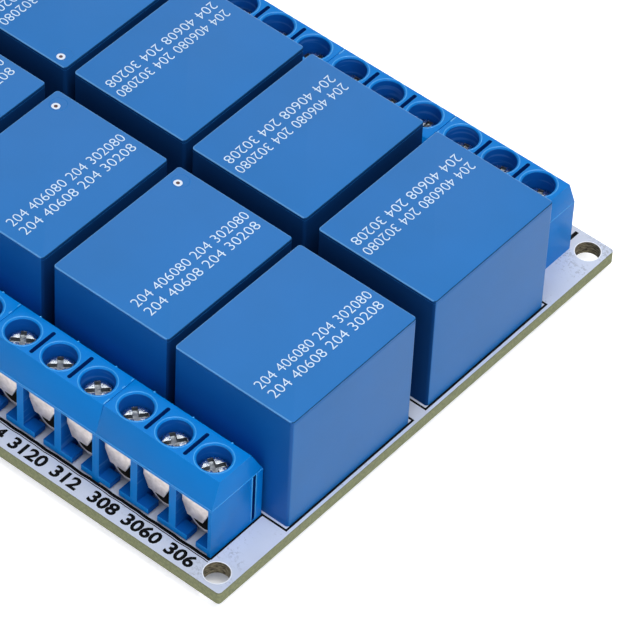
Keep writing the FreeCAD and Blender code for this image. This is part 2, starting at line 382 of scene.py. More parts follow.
def cleaned(node, name):
    """A merged copy of a CAD node, whose own mesh is loose triangles."""
    twin = frame["nodes"][node].copy()
    twin.data = frame["nodes"][node].data.copy()
    twin.parent = None
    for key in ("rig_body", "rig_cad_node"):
        if key in twin:
            del twin[key]
    bpy.context.scene.collection.objects.link(twin)
    twin.name = twin.data.name = name
    open_mesh(twin)
    bpy.ops.mesh.remove_doubles(threshold=1e-6)
    bpy.ops.mesh.dissolve_limited(angle_limit=math.radians(1))
    done()
    return twin


def solids_of(node):
    """The low and high corner of each separate solid in a CAD node."""
    mesh = frame["nodes"][node].data
    owner = {}

    def root(key):
        while owner[key] != key:
            key = owner[key]
        return key

    keys = [tuple(round(c * 1e6) for c in v.co) for v in mesh.vertices]
    for key in keys:
        owner.setdefault(key, key)
    for face in mesh.polygons:
        first = root(keys[face.vertices[0]])
        for index in face.vertices[1:]:
            owner[root(keys[index])] = first
    found = {}
    for key in owner:
        found.setdefault(root(key), []).append(key)
    boxes = []
    for points in found.values():
        low = Vector([min(p[i] for p in points) * 1e-6 for i in range(3)])
        high = Vector([max(p[i] for p in points) * 1e-6 for i in range(3)])
        boxes.append((low, high))
    return sorted(boxes, key=lambda b: (round(b[0].x, 5), round(b[0].y, 5)))


def lettering(name, text, height, place, turn, across, bold):
    """Flat figures with their baseline's start at place; across is the line's wanted length."""
    capital = 0.7  # the share of the type size that a figure is high
    bpy.ops.object.text_add(location=(0, 0, 0))
    words = made(name)
    words.data.body = text
    words.data.size = height / capital
    words.data.resolution_u = 3
    words.data.offset = bold
    words.data.extrude = 0.002 * MM
    only(words)
    bpy.ops.object.convert(target="MESH")
    words = bpy.context.active_object
    words.scale = (across / words.dimensions.x, 1, 1)
    settle(words)
    words.rotation_euler = (0, 0, turn)
    words.location = place
    return settle(words)


# Materials

def linear(code):
    """An sRGB hex colour as the linear colour that a shader takes."""
    parts = [int(code[i:i + 2], 16) / 255 for i in (1, 3, 5)]
    return [c / 12.92 if c <= 0.04045 else ((c + 0.055) / 1.055) ** 2.4 for c in parts] + [1.0]


def add(tree, kind, inputs=None, **settings):
    """Adds a node; an input takes a number, a hex colour or another node's output."""
    node = tree.nodes.new(kind)
    for key, value in settings.items():
        setattr(node, key, value)
    for key, value in (inputs or {}).items():
        if isinstance(value, bpy.types.NodeSocket):
            tree.links.new(value, node.inputs[key])
        else:
            node.inputs[key].default_value = linear(value) if isinstance(value, str) else value
    return node


def maths(tree, operation, first, second=None):
    """One step of arithmetic on numbers or outputs."""
    inputs = {0: first} if second is None else {0: first, 1: second}
    return add(tree, "ShaderNodeMath", inputs, operation=operation).outputs[0]


def noise(tree, where, size, detail=2.0, roughness=0.5, distortion=0.0):
    """Noise whose blots are about size mm wide."""
    return add(tree, "ShaderNodeTexNoise", {
        "Vector": where, "Scale": 1 / (size * MM), "Detail": detail, "Roughness": roughness,
        "Distortion": distortion}).outputs["Fac"]


def ramp(tree, value, start=0.0, stop=1.0, low=0.0, high=1.0):
    """Carries a value from the range start to stop over to the range low to high."""
    return add(tree, "ShaderNodeMapRange", {
        "Value": value, "From Min": start, "From Max": stop, "To Min": low,
        "To Max": high}).outputs["Result"]


def blend(tree, share, first, second):
    """Two colours mixed by a share."""
    return add(tree, "ShaderNodeMix", {"Factor": share, "A": first, "B": second},
               data_type="RGBA").outputs["Result"]


def stretched(tree, where, scale):
    """Coordinates that draw a pattern out along the axes with a small scale."""
    return add(tree, "ShaderNodeMapping", {"Vector": where, "Scale": scale}).outputs[0]


def surface(name, colour, roughness, metallic=0.0, gloss=0.5):
    """A material with its shader, its output and Object coordinates."""
    paint = bpy.data.materials.new(name)
    paint.use_nodes = True
    tree = paint.node_tree
    tree.nodes.clear()
    shader = add(tree, "ShaderNodeBsdfPrincipled", {
        "Base Color": colour, "Roughness": roughness, "Metallic": metallic,
        "Specular IOR Level": gloss})
    add(tree, "ShaderNodeOutputMaterial", {"Surface": shader.outputs[0]})
    where = add(tree, "ShaderNodeTexCoord").outputs["Object"]
    return paint, tree, shader, where


def grain(tree, shader, where, size, depth, stretch=None):
    """Bumps of a size in mm, up to depth mm high; stretch draws them out into strokes."""
    bumps = noise(tree, stretched(tree, where, stretch) if stretch else where, size, 3.0)
    bump = add(tree, "ShaderNodeBump", {"Height": bumps, "Strength": 1.0, "Distance": depth * MM})
    tree.links.new(bump.outputs[0], shader.inputs["Normal"])
    return bumps


def mottle(tree, shader, where, size, light, dark):
    """Slow drifts of colour between two shades."""
    drift = blend(tree, noise(tree, where, size), light, dark)
    tree.links.new(drift, shader.inputs["Base Color"])


def shaded(code, share):
    """A hex colour made lighter or darker by a share."""
    parts = [int(code[i:i + 2], 16) for i in (1, 3, 5)]
    return "#" + "".join("%02X" % max(0, min(255, round(p * share))) for p in parts)


def moulded(name, code, roughness, size, depth, gloss=0.5):
    """Moulded plastic: an even colour, a fine orange-peel skin and slow drifts in shade."""
    paint, tree, shader, where = surface(name, code, roughness, gloss=gloss)
    grain(tree, shader, where, size, depth)
    mottle(tree, shader, where, 6, shaded(code, 1.03), shaded(code, 0.97))
    return paint


def cored(name, code, ring):
    """Nylon against a turned core: matt, with thin pale rings 0.5 mm apart up the well."""
    paint, tree, shader, where = surface(name, code, 0.75, gloss=0.1)
    grain(tree, shader, where, 0.35, 0.006)
    rings = noise(tree, stretched(tree, where, (0.12, 0.12, 1)), 0.5, 1.0)
    share = ramp(tree, rings, 0.56, 0.68, 0.0, 0.6)
    tree.links.new(blend(tree, share, code, ring), shader.inputs["Base Color"])
    return paint


def strip_metal(name, code, roughness, stretch, size=0.35, depth=0.012, metallic=1.0):
    """Rolled or turned metal: fine strokes along one way, in height and in gloss."""
    paint, tree, shader, where = surface(name, code, roughness, metallic)
    strokes = grain(tree, shader, where, size, depth, stretch)
    mottle(tree, shader, where, 0.5, shaded(code, 1.08), shaded(code, 0.8))
    wear = ramp(tree, strokes, low=roughness * 0.7, high=roughness * 1.4)
    tree.links.new(wear, shader.inputs["Roughness"])
    return paint


def board_material(look):
    """Solder mask on both faces and bare glass-fibre laminate on every edge."""
    paint, tree, shader, where = surface("Solder mask on glass-fibre laminate", look.mask, 0.42)
    place = add(tree, "ShaderNodeSeparateXYZ", {0: where}).outputs
    normal = add(tree, "ShaderNodeTexCoord").outputs["Normal"]
    upright = add(tree, "ShaderNodeSeparateXYZ", {0: normal}).outputs["Z"]
    face = maths(tree, "GREATER_THAN", maths(tree, "ABSOLUTE", upright), 0.5)

    # How far a point lies from the middle of the nearest mounting hole, squared
    half = (BOARD_HIGH - BOARD_LOW) / 2
    squares = []
    for axis, reach in (("X", half.x), ("Y", half.y)):
        away = maths(tree, "SUBTRACT", maths(tree, "ABSOLUTE", place[axis]),
                     reach - look.hole_inset)
        squares.append(maths(tree, "POWER", away, 2.0))
    from_hole = maths(tree, "ADD", *squares)

    # The mask runs a little thick and thin over the copper
    mask = blend(tree, noise(tree, where, 2.5, 4.0), shaded(look.mask, 1.02),
                 shaded(look.mask, 0.96))

    # Handling leaves short grey scuffs, in patches a few millimetres wide and round the holes
    near = ramp(tree, from_hole, (2.2 * MM) ** 2, (4.5 * MM) ** 2, 0.09, 0.0)
    scuff = maths(tree, "ADD", noise(tree, where, 0.4, 5.0, 0.7, 0.4), near)
    patch = maths(tree, "ADD", noise(tree, where, 3.5), near)
    worn = maths(tree, "MULTIPLY", ramp(tree, scuff, 0.58, 0.66),
                 ramp(tree, patch, 0.48, 0.6, 0.0, 0.42))
    mask = blend(tree, worn, mask, "#6F7684")

    # Eight layers of woven glass show as fine lines along the sawn edge, 0.2 mm apart, with
    # darker resin right under the mask
    wave = maths(tree, "SINE", maths(tree, "MULTIPLY", place["Z"], 2 * math.pi / (0.2 * MM)))
    sawn = ramp(tree, noise(tree, where, 0.3, 3.0), 0.3, 0.7, -1.6, 1.6)
    fibre = ramp(tree, maths(tree, "ADD", wave, sawn), -2.0, 2.0)
    core = blend(tree, fibre, shaded(look.core, 0.88), shaded(look.core, 1.1))
    top = ramp(tree, place["Z"], BOARD_TOP - 0.2 * MM, BOARD_TOP - 0.1 * MM, 0.0, 0.55)
    laminate = blend(tree, top, core, shaded(look.core, 0.66))

    # The drilled walls are scorched: brown-grey with paler torn glass in streaks
    drilled = maths(tree, "LESS_THAN", from_hole, (look.hole / 2 * 1.15) ** 2)
    torn = ramp(tree, noise(tree, stretched(tree, where, (1, 1, 3)), 0.5, 4.0), 0.38, 0.62)
    wall = blend(tree, torn, "#3C3428", "#8E866C")

    whole = blend(tree, face, blend(tree, drilled, laminate, wall), mask)
    tree.links.new(whole, shader.inputs["Base Color"])
    tree.links.new(ramp(tree, face, low=0.8, high=0.42), shader.inputs["Roughness"])
    grain(tree, shader, where, 0.5, 0.006)
    return paint


def plastics(scene):
    """Name, colour, roughness, size and height of the grain in mm, and gloss of each finish."""
    cap, nylon = scene.relay_look.shell, scene.terminal_look.shell
    return {
        # Satin thermoplastic cap: an even mid blue with soft gloss on its rounded edges
        "relay": ("Satin moulded relay cap", cap, 0.38, 0.3, 0.004, 0.21),
        # The cap's top edge, where the mould closes, as a thin pale line: a painted highlight
        "top_edge_highlight": ("Burnished moulded edge", "#5496D4", 0.25, 0.3, 0.001),
        # The cap's right-hand top edge: a thin dark line of painted shade
        "dull": ("Dull moulded edge", shaded(cap, 0.55), 0.8, 0.3, 0.002, 0.1),
        # The cap's two short sides get a deeper blue than its top: painted shade
        "side_shade": ("Drawn cap side", "#0C5AA6", 0.38, 0.3, 0.004, 0.2),
        # Sides that face another relay: matt, and deep painted shade for the gap between relays
        "gap_shade": ("Matt cap side", "#0C3C76", 0.85, 0.3, 0.004, 0.05),
        # The vent is melted shut: a white bead round a brown plug
        "nub": ("Melted vent bead", "#DDE6F4", 0.4, 0.2, 0.004),
        "plug": ("Vent plug", "#4A3238", 0.6, 0.2, 0.004),
        # The base closes the cap under potting resin, so it is darker and duller
        "base": ("Potted relay base", shaded(cap, 0.6), 0.6, 0.5, 0.01),
        # Bright nylon housing: a stronger blue than the relays
        "terminal": ("Moulded nylon terminal housing", nylon, 0.36, 0.35, 0.005, 0.12),
        # The same nylon, paler: thin lines of painted highlight on edges, rims and flash
        "flash": ("Polished nylon edge", "#3FA8EE", 0.25, 0.3, 0.002),
        # Deep in the narrow slots and the groove the same nylon goes to navy: painted shade
        "slot": ("Nylon deep in a slot", "#002E78", 0.8, 0.35, 0.006, 0.05),
        # Pad-printed ink: matt and slightly broken by the skin under it
        "ink": ("Pad-printed ink", scene.relay_look.ink, 0.6, 0.2, 0.002),
        # Screen-printed legend: matt black on the solder mask
        "legend": ("Screen-printed legend", "#060608", 0.8, 0.2, 0.002, 0.1),
        # The mask ends at a bright bead round each drilled hole
        "lip": ("Solder mask bead", "#F2F5FF", 0.35, 0.3, 0.002),
        # Glass-filled nylon strip of the header
        "black": ("Black glass-filled nylon", "#121214", 0.55, 0.25, 0.008),
        # Transfer-moulded epoxy of the chips: fine and matt
        "epoxy": ("Moulded black epoxy", "#19191B", 0.6, 0.15, 0.006),
        # Laser mark on epoxy: a pale grey
        "mark": ("Laser-marked epoxy", "#A9ABAD", 0.7, 0.15, 0.003),
        # Film resistor under black glaze
        "glaze": ("Black resistor glaze", "#141416", 0.3, 0.3, 0.003),
        # White carrier of the lamps
        "carrier": ("White lamp carrier", "#E6E3D8", 0.5, 0.3, 0.004),
        # Clear resin over the lamp's die, tinted by what lies under it
        "resin": ("Cast lamp resin", "#D6D39A", 0.15, 0.6, 0.001),
    }


# Name, colour, roughness and how the strokes are drawn out; then their size and height in mm,
# and how far the finish is metal
METALS = {
    # Nickel plate over rolled strip: warm silver with strokes along the strip
    "clamp": ("Nickel-plated steel strip", "#DCD5D4", 0.4, (0.25, 1.0, 1.0), 0.22, 0.02),
    # The strip's sheared edges are bare, torn and scatter light; their near-white is partly a
    # painted highlight
    "sheared_highlight": ("Sheared strip edge", "#FBFAF8", 0.35, (1.0, 1.0, 1.0), 0.3, 0.004, 0.35),
    # Inside the trough the thin plate is near black: painted shade
    "trough_shade": ("Tarnished trough", "#3A3836", 0.6, (1.0, 0.3, 1.0), 0.3, 0.01),
    # Zinc-plated heads, scratched by the driver
    "screw": ("Zinc-plated screw steel", "#CBD2DA", 0.24, (1.0, 0.6, 1.0), 0.2, 0.05),
    # The same plate, darker in the slots of the heads: painted shade
    "recess": ("Oiled zinc plate", "#8F9398", 0.3, (1.0, 0.6, 1.0), 0.2, 0.05),
    # Tin plate: paler and softer than the steel
    "tin": ("Tinned copper", "#C9CBCD", 0.32, (1.0, 1.0, 0.3)),
    # Solder that has frozen: bright, with a slight grain
    "solder": ("Frozen solder", "#C4C6CA", 0.28, (1.0, 1.0, 1.0)),
    # Flash gold on the header pins
    "brass": ("Gold-flashed brass", "#D9B65C", 0.3, (1.0, 1.0, 0.3)),
}
MATERIALS = {}


def material(key):
    """A finish by its name, made when it is first asked for."""
    if key not in MATERIALS:
        scene = bpy.context.scene
        if key in METALS:
            MATERIALS[key] = strip_metal(*METALS[key])
        elif key == "board":
            MATERIALS[key] = board_material(scene.board_look)
        elif key == "core":
            # The mould's cores are left rough, so the inside of the nylon is matt; its deeper blue
            # is painted shade
            MATERIALS[key] = cored("Matt nylon inside the housing", "#0058B0", "#3A78C2")
        else:
            MATERIALS[key] = moulded(*plastics(scene)[key])
    return MATERIALS[key]


# The pieces

CAP_SKIN = 0.02 * MM  # the caps stay this much under the CAD's top, to leave room for the print
GROOVE = (6.17 * MM, 6.63 * MM)  # the dovetail groove, from a housing's wire side
FOOT = 0.35 * MM  # where the groove and its lips start


def in_front(k):
    """Relays and terminals 1 to 4 stand in the front row, 5 to 8 behind them."""
    return k < 5


def wire_side(k):
    """The Y of a terminal's wire side, and the way that leads out of it."""
    low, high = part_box("terminal_block_%d" % k)
    return (low.y, -1) if in_front(k) else (high.y, 1)


def wavy(line, left, right, phase):
    """Bends a long printed line slightly, as the screen prints it."""
    cells = 90
    score(line, [(left + (right - left) * cell / cells, 0, 0) for cell in range(1, cells)],
          (1, 0, 0))
    for vert in line.data.vertices:
        x = vert.co.x / MM
        vert.co.y += 0.05 * MM * math.sin(2.1 * x + phase) * math.sin(0.7 * x)
    return line


def legend_lines():
    """The printed lines: along each row of terminals, and a frame round each relay."""
    def stroke(low, high):
        return block("line", (*low, BOARD_TOP), (*high, BOARD_TOP + 0.02 * MM))

    lines = []
    for row in (1, 5):
        near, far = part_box("terminal_block_%d" % row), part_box("terminal_block_%d" % (row + 3))
        end = near[1].x + (0.12 if in_front(row) else -2.0) * MM
        wire, out = wire_side(row)
        # A thick line at the wire side, and a thin one outside it
        for start, stop in ((0.0, 0.36), (0.46, 0.56)):
            low, high = span(wire, out, start, stop)
            lines.append(wavy(stroke((far[0].x - 0.1 * MM, low), (end, high)), far[0].x, end,
                              start))
        if in_front(row):
            lines.append(stroke((near[1].x - 0.02 * MM, near[0].y - 0.1 * MM),
                                (near[1].x + 0.2 * MM, near[1].y)))
    beside, beyond, pen = 0.24 * MM, 0.5 * MM, 0.24 * MM
    for k in RELAYS:
        low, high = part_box("relay_cover_%d" % k)
        left, right, near, far = low.x - beside, high.x + beside, low.y - beyond, high.y + beyond
        lines += [stroke((left, near), (right, near + pen)),
                  stroke((left, far - pen), (right, far)),
                  stroke((left, near), (left + pen, far)),
                  stroke((right - pen, near), (right, far))]
    fit(joined("legend_lines", lines), "legend", "solder_mask")


def edge_labels(pitch, height):
    """A plain number for each way, where such a board names its contacts."""
    from_edge, figure, bold = 0.58 * MM, 1.17 * MM, 0.075 * MM
    rear_shift = 0.57 * MM  # the rear row's numbers stand off the middles of their ways
    words = []
    for k in RELAYS:
        low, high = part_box("terminal_block_%d" % k)
        first = 300 if in_front(k) else 100
        for way, number in enumerate((first + 2 + 6 * k, 10 * first + 60 * k, first + 6 * k)):
            wide = len(str(number)) * figure
            along = (2.5 - way) * pitch
            if in_front(k):
                x, y, turn = high.x - along - wide / 2, BOARD_LOW.y + from_edge, 0
            else:
                x, y = low.x + along + rear_shift + wide / 2, BOARD_HIGH.y - from_edge
                turn = math.pi
            words.append(lettering("label", str(number), height, (x, y, BOARD_TOP), turn, wide,
                                   bold))
    fit(joined("edge_labels", words), "legend", "solder_mask")


class RELAYBOARD_OT_board(bpy.types.Operator):
    """Finishes the circuit board: mask, laminate, lips round the holes and legend"""
    bl_idname = "relayboard.board"
    bl_label = "Circuit board"

    def execute(self, context):
        look = context.scene.board_look
        finish_node("circuit_board", "board")
        lips = [hoop("lip", look.hole / 2 + look.lip / 2, look.lip / 2, (x, y, z), 0.35, 48)
                for x in (BOARD_LOW.x + look.hole_inset, BOARD_HIGH.x - look.hole_inset)
                for y in (BOARD_LOW.y + look.hole_inset, BOARD_HIGH.y - look.hole_inset)
                for z in (BOARD_TOP, BOARD_LOW.z)]
        fit(joined("hole_lips", lips), "lip", "solder_mask")
        legend_lines()
        edge_labels(context.scene.terminal_look.pitch, look.label_height)
        return {"FINISHED"}


def relay_cap(look, wide, deep, top):
    """One cap, open at the bottom, in its own frame with its contact side at -Y."""
    cap = block("cap", (-wide / 2, -deep / 2, 0), (wide / 2, deep / 2, top))
    bevelled(cap, rising(top / 2), look.corner, 6)
    bevelled(cap, above(top - CAP_SKIN), look.top_round, 3)
    seam, width, sunk = top - look.seam_drop, 0.06 * MM, 0.025 * MM
    score(cap, [(0, 0, seam), (0, 0, seam - width)], (0, 0, 1))
    editing(cap, faces=lambda f: abs(f.calc_center_median().z - seam + width / 2) < width / 4)
    bpy.ops.mesh.inset(thickness=0.0, depth=-sunk)
    done()
    editing(cap, faces=lambda f: f.normal.z < -0.9 and f.calc_center_median().z < width)
    bpy.ops.mesh.inset(thickness=look.wall, depth=0.0)
    bpy.ops.mesh.extrude_region_move(
        TRANSFORM_OT_translate={"value": (0, 0, top - look.wall)})
    done()
    return smooth(cap, 40)


def paint_cap(shell, k, rim, top):
    """Paints highlight and shade on the cap's top round, and shade on each side by what it faces.
    """
    painted(shell, "top_edge_highlight", "dull", "gap_shade", "side_shade")
    plain, top_edge_highlight, dull, gap_shade, side_shade = range(5)
    place_in_row = (k - 1) % 4
    for face in shell.data.polygons:
        out, height = face.normal, face.center.z
        neighboured = ((out.x > 0.5 and place_in_row > 0) or (out.x < -0.5 and place_in_row < 3)
                       or (out.y > 0.5 and in_front(k)) or (out.y < -0.5 and not in_front(k)))
        if rim < height < top:
            # The top edge's round gets a painted highlight, except on the right, which gets
            # painted shade
            face.material_index = dull if out.x > 0.4 else plain if out.x > 0.1 else top_edge_highlight
        # Sides that face a neighbour get the deep painted shade of the gap
        elif height < rim and neighboured:
            face.material_index = gap_shade
        # Short sides that face no neighbour get the lighter painted shade
        elif height < rim and abs(out.y) > 0.5:
            face.material_index = side_shade


class RELAYBOARD_OT_relays(bpy.types.Operator):
    """Moulds the relay caps with their round edges, mould line, vents and print"""
    bl_idname = "relayboard.relays"
    bl_label = "Relays"

    def execute(self, context):
        look = context.scene.relay_look
        low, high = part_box("relay_cover_1")
        wide, deep, tall = high - low
        top = high.z - CAP_SKIN
        cap = relay_cap(look, wide, deep, tall - CAP_SKIN)
        bead = -0.45 * MM  # from the middle of a vent's ring to its bead
        ring = hoop("vent_ring", 0.95 * MM, 0.07 * MM, (0, 0, 0), 0.28, 40)
        nub = hoop("vent_nub", 0.34 * MM, 0.14 * MM, (0, bead, 0), 0.14, 32, 12)
        plug = rod("vent_plug", 0.24 * MM, (0, bead, -0.01 * MM), (0, bead, 0.006 * MM), 24)

        vented = (2, 3, 4, 8)
        inset, row, shorter = 5.15 * MM, 1.75 * MM, 0.3 * MM  # of the two printed lines
        inks, nubs, plugs = [], [], []
        for k in RELAYS:
            near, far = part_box("relay_cover_%d" % k)
            x, y = (near.x + far.x) / 2, (near.y + far.y) / 2
            turn = 0 if in_front(k) else math.pi
            shell = fit(copied(cap, "relay_cap_%d" % k, x, y, turn, low.z), "relay",
                        "relay_plastic", "relay_cover_%d" % k)
            paint_cap(shell, k, top - look.top_round, top - 0.2 * CAP_SKIN)
            across = Matrix.Rotation(turn, 2)
            if k in vented:
                spot = across @ Vector((-wide / 2 + 1.55 * MM, deep / 2 - 1.5 * MM))
                place = (x + spot.x, y + spot.y, 0, top)
                fit(copied(ring, "relay_vent_%d" % k, *place), "relay", "relay_plastic")
                nubs.append(copied(nub, "nub", *place))
                plugs.append(copied(plug, "plug", *place))
            for line, figures in enumerate(("204 406080 204 302080", "204 40608 204 30208")):
                spot = across @ Vector((wide / 2 - inset + line * row,
                                        -deep / 2 + look.print_setback))
                inks.append(lettering("figures", figures, look.print_height,
                                      (x + spot.x, y + spot.y, high.z - 0.012 * MM),
                                      turn + math.pi / 2, look.print_length - line * shorter,
                                      -0.018 * MM))
            finish_node("relay_base_%d" % k, "base")
            finish_node("relay_pins_%d" % k, "tin")
        fit(joined("relay_figures", inks), "ink", "relay_plastic")
        fit(joined("vent_nubs", nubs), "nub", "relay_plastic")
        fit(joined("vent_plugs", plugs), "plug", "relay_plastic")
        discard(cap, ring, nub, plug)
        return {"FINISHED"}


def way_middles(ways, look):
    """Where the ways of a housing lie along its own X axis."""
    return [(k - (ways - 1) / 2) * look.pitch for k in range(ways)]


def cores(look, half, middles, seams, tall):
    """The shapes that the mould keeps empty: wells, entries, slots and the dovetail groove."""
    room = (look.pitch - look.pillar) / 2
    over, lap = MM, 0.1 * MM  # how far a core stands out of the housing, and into the next core
    foot = look.floor_top + lap
    tools = []
    for x in middles:
        tools.append(rod("well", look.well / 2, (x, look.well_back, look.lintel - over),
                         (x, look.well_back, tall + over), 64))
        bpy.ops.mesh.primitive_cone_add(
            vertices=64, radius1=look.well / 2, radius2=look.well / 2 + 2 * look.countersink,
            depth=2 * look.countersink, location=(x, look.well_back, tall))
        tools.append(settle(made("countersink")))
        for name, wide, start, stop, low, high in (
                ("entry", room, -over, look.cavity, look.floor_top, look.lintel),
                ("under", room, look.floor_depth, look.cavity, -over, foot),
                ("slit", look.slit / 2, -over, look.floor_depth + lap, -over, foot)):
            tools.append(block(name, (x - wide, start, low), (x + wide, stop, high)))
    thin, start, stop, end_round = 0.225 * MM, 1.55 * MM, 5.25 * MM, 0.2 * MM
    for x in seams:
        slot = block("slot", (x - thin, start, tall - look.slot_depth),
                     (x + thin, stop, tall + over))
        tools.append(bevelled(slot, rising(over), end_round, 4))
    end_wall, groove_deep = 0.45 * MM, 0.5 * MM
    tools.append(block("lift", (-half + end_wall, -over, -over),
                       (half - end_wall, look.floor_depth + lap / 2, look.floor_gap)))
    tools.append(block("groove", (half - groove_deep, GROOVE[0], FOOT),
                       (half + over, GROOVE[1], look.back_rise)))
    return tools


def paint_housing(body, look, half, seams, deep, tall):
    """Gives all inside the cores' matt skin with painted shade, and the slots and groove navy
    painted shade.
    """
    painted(body, "core", "slot")
    matt_shaded, navy_shade = 2, 3  # after the housing's own finish and its edges' painted highlight
    beside_slot, over_lintel, slack = 0.3 * MM, 0.2 * MM, 0.07 * MM
    groove_floor = half - 0.52 * MM
    for face in body.data.polygons:
        x, y, z = face.center
        lean = max(0.0, (z - look.front_rise) / (tall - look.front_rise))
        rear = max(0.0, (z - look.back_rise) / (tall - look.back_rise))
        front, back = look.front_slope * lean, deep - look.back_slope * rear
        inside = (front + look.skin < y < back - look.skin and abs(x) < half - look.skin
                  and z < tall - look.countersink - look.skin)
        grooved = (groove_floor < x < half - look.skin and z < look.back_rise
                   and GROOVE[0] - slack < y < GROOVE[1] + slack)
        slotted = (z > look.lintel + over_lintel
                   and any(abs(x - seam) < beside_slot for seam in seams))
        # The slots and the groove get the navy painted shade
        if grooved or (inside and slotted):
            face.material_index = navy_shade
        # The rest of the inside: matt, with the darker blue of painted shade
        elif inside:
            face.material_index = matt_shaded


def housing(ways, look, deep, tall):
    """One terminal housing, lying in its own frame with its wire side at y = 0."""
    half = ways * look.pitch / 2
    middles = way_middles(ways, look)
    seams = [k * look.pitch - half for k in range(1, ways)]
    body = block("housing", (-half, 0, 0), (half, deep, tall))
    slice_off(body, (0, 0, look.front_rise), (0, look.front_rise - tall, look.front_slope))
    slice_off(body, (0, deep, look.back_rise), (0, tall - look.back_rise, look.back_slope))
    for side in (-1, 1):
        slice_off(body, (side * half, 0, look.front_rise),
                  (side * (tall - look.front_rise), 0, look.end_draft))
    cut(body, *cores(look, half, middles, seams, tall))
    rounded(body, look.round, edge_highlight=("terminal", "flash"))
    paint_housing(body, look, half, seams, deep, tall)

    # Raised rims round the wells, and the stubs where the mould was filled, in the painted
    # highlight
    bright = []
    for x in middles:
        bright.append(hoop("rim", look.well / 2 + 0.25 * MM, 0.05 * MM,
                           (x, look.well_back, tall - 0.01 * MM), 0.6))
        bpy.ops.mesh.primitive_uv_sphere_add(
            segments=16, ring_count=8, radius=0.14 * MM,
            location=(x, deep - look.back_slope + 0.02 * MM, tall - 0.1 * MM))
        bright.append(smooth(settle(made("nub")), 60))
    # Flash along the mould's parting line, pale with painted highlight
    flash = 0.05 * MM
    for x in (-half, half):
        bright.append(block("flash", (x - flash / 2, flash, look.front_rise - flash),
                            (x + flash / 2, deep - flash, look.front_rise + flash / 2)))
    # A narrow upright band over the entries, with a painted highlight line at its top and its foot
    for z in (look.lintel + 0.03 * MM, look.front_rise - 0.02 * MM):
        bright.append(block("band", (flash - half, -0.02 * MM, z),
                            (half - flash, 0.03 * MM, z + 0.07 * MM)))
    # The raised lips of the dovetail groove, with painted highlight, and the rib that locks into
    # the next housing
    lip = 0.15 * MM
    for y in (GROOVE[0] - lip, GROOVE[1]):
        bright.append(block("lip", (half - flash, y, FOOT),
                            (half + flash, y + lip, look.back_rise - flash), 0.02 * MM))
    rib = block("rib", (-half - 0.25 * MM, 6.15 * MM, 0.75 * MM),
                (-half + 0.1 * MM, 6.65 * MM, look.back_rise - flash), 0.04 * MM)
    return joined("housing", [body] + [painted(part, "flash") for part in bright]
                  + [painted(rib, "terminal")])


def block_spot(k, look):
    """Where a housing's own frame lies on the board, and its turn."""
    low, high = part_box("terminal_block_%d" % k)
    half = 1.5 * look.pitch
    if in_front(k):
        return high.x - half, low.y, 0.0, low.z
    return low.x + half, high.y, math.pi, low.z


def power_spot(look):
    """The supply terminal's own frame: it is turned to face the short edge."""
    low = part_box("power_block")[0]
    return low.x, low.y + look.pitch, -math.pi / 2, low.z


def rub_marks():
    """Short bright marks on the seam between two housings of a row, in the painted highlight
    finish.
    """
    marks = []
    for k in RELAYS:
        if k % 4 == 0:  # the last of its row
            continue
        near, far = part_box("terminal_block_%d" % k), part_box("terminal_block_%d" % (k + 1))
        seam, top = (near[0].x + near[1].x + far[0].x + far[1].x) / 4, near[1].z
        wire, out = wire_side(k)
        for start, stop in ((1.3, 2.2), (4.1, 4.5), (5.4, 5.8)):
            low, high = span(wire, -out, start, stop)
            marks.append(block("rub", (seam - 0.06 * MM, low, top - 0.08 * MM),
                              (seam + 0.06 * MM, high, top + 0.006 * MM)))
    fit(joined("seam_rubs", marks), "flash", "terminal_plastic")


class RELAYBOARD_OT_terminals(bpy.types.Operator):
    """Moulds the terminal housings with wells, slots, entries, rims and dovetails"""
    bl_idname = "relayboard.terminals"
    bl_label = "Terminal housings"

    def execute(self, context):
        look = context.scene.terminal_look
        low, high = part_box("terminal_block_1")
        deep, tall = high.y - low.y, high.z - low.z
        three = housing(3, look, deep, tall)
        for k in RELAYS:
            x, y, turn, z = block_spot(k, look)
            fit(copied(three, "terminal_housing_%d" % k, x, y, turn, z), None,
                "terminal_plastic", "terminal_block_%d" % k)
        rub_marks()
        two = housing(2, look, deep, tall)
        x, y, turn, z = power_spot(look)
        fit(copied(two, "supply_housing", x, y, turn, z), None, "terminal_plastic", "power_block")
        discard(three, two)
        return {"FINISHED"}


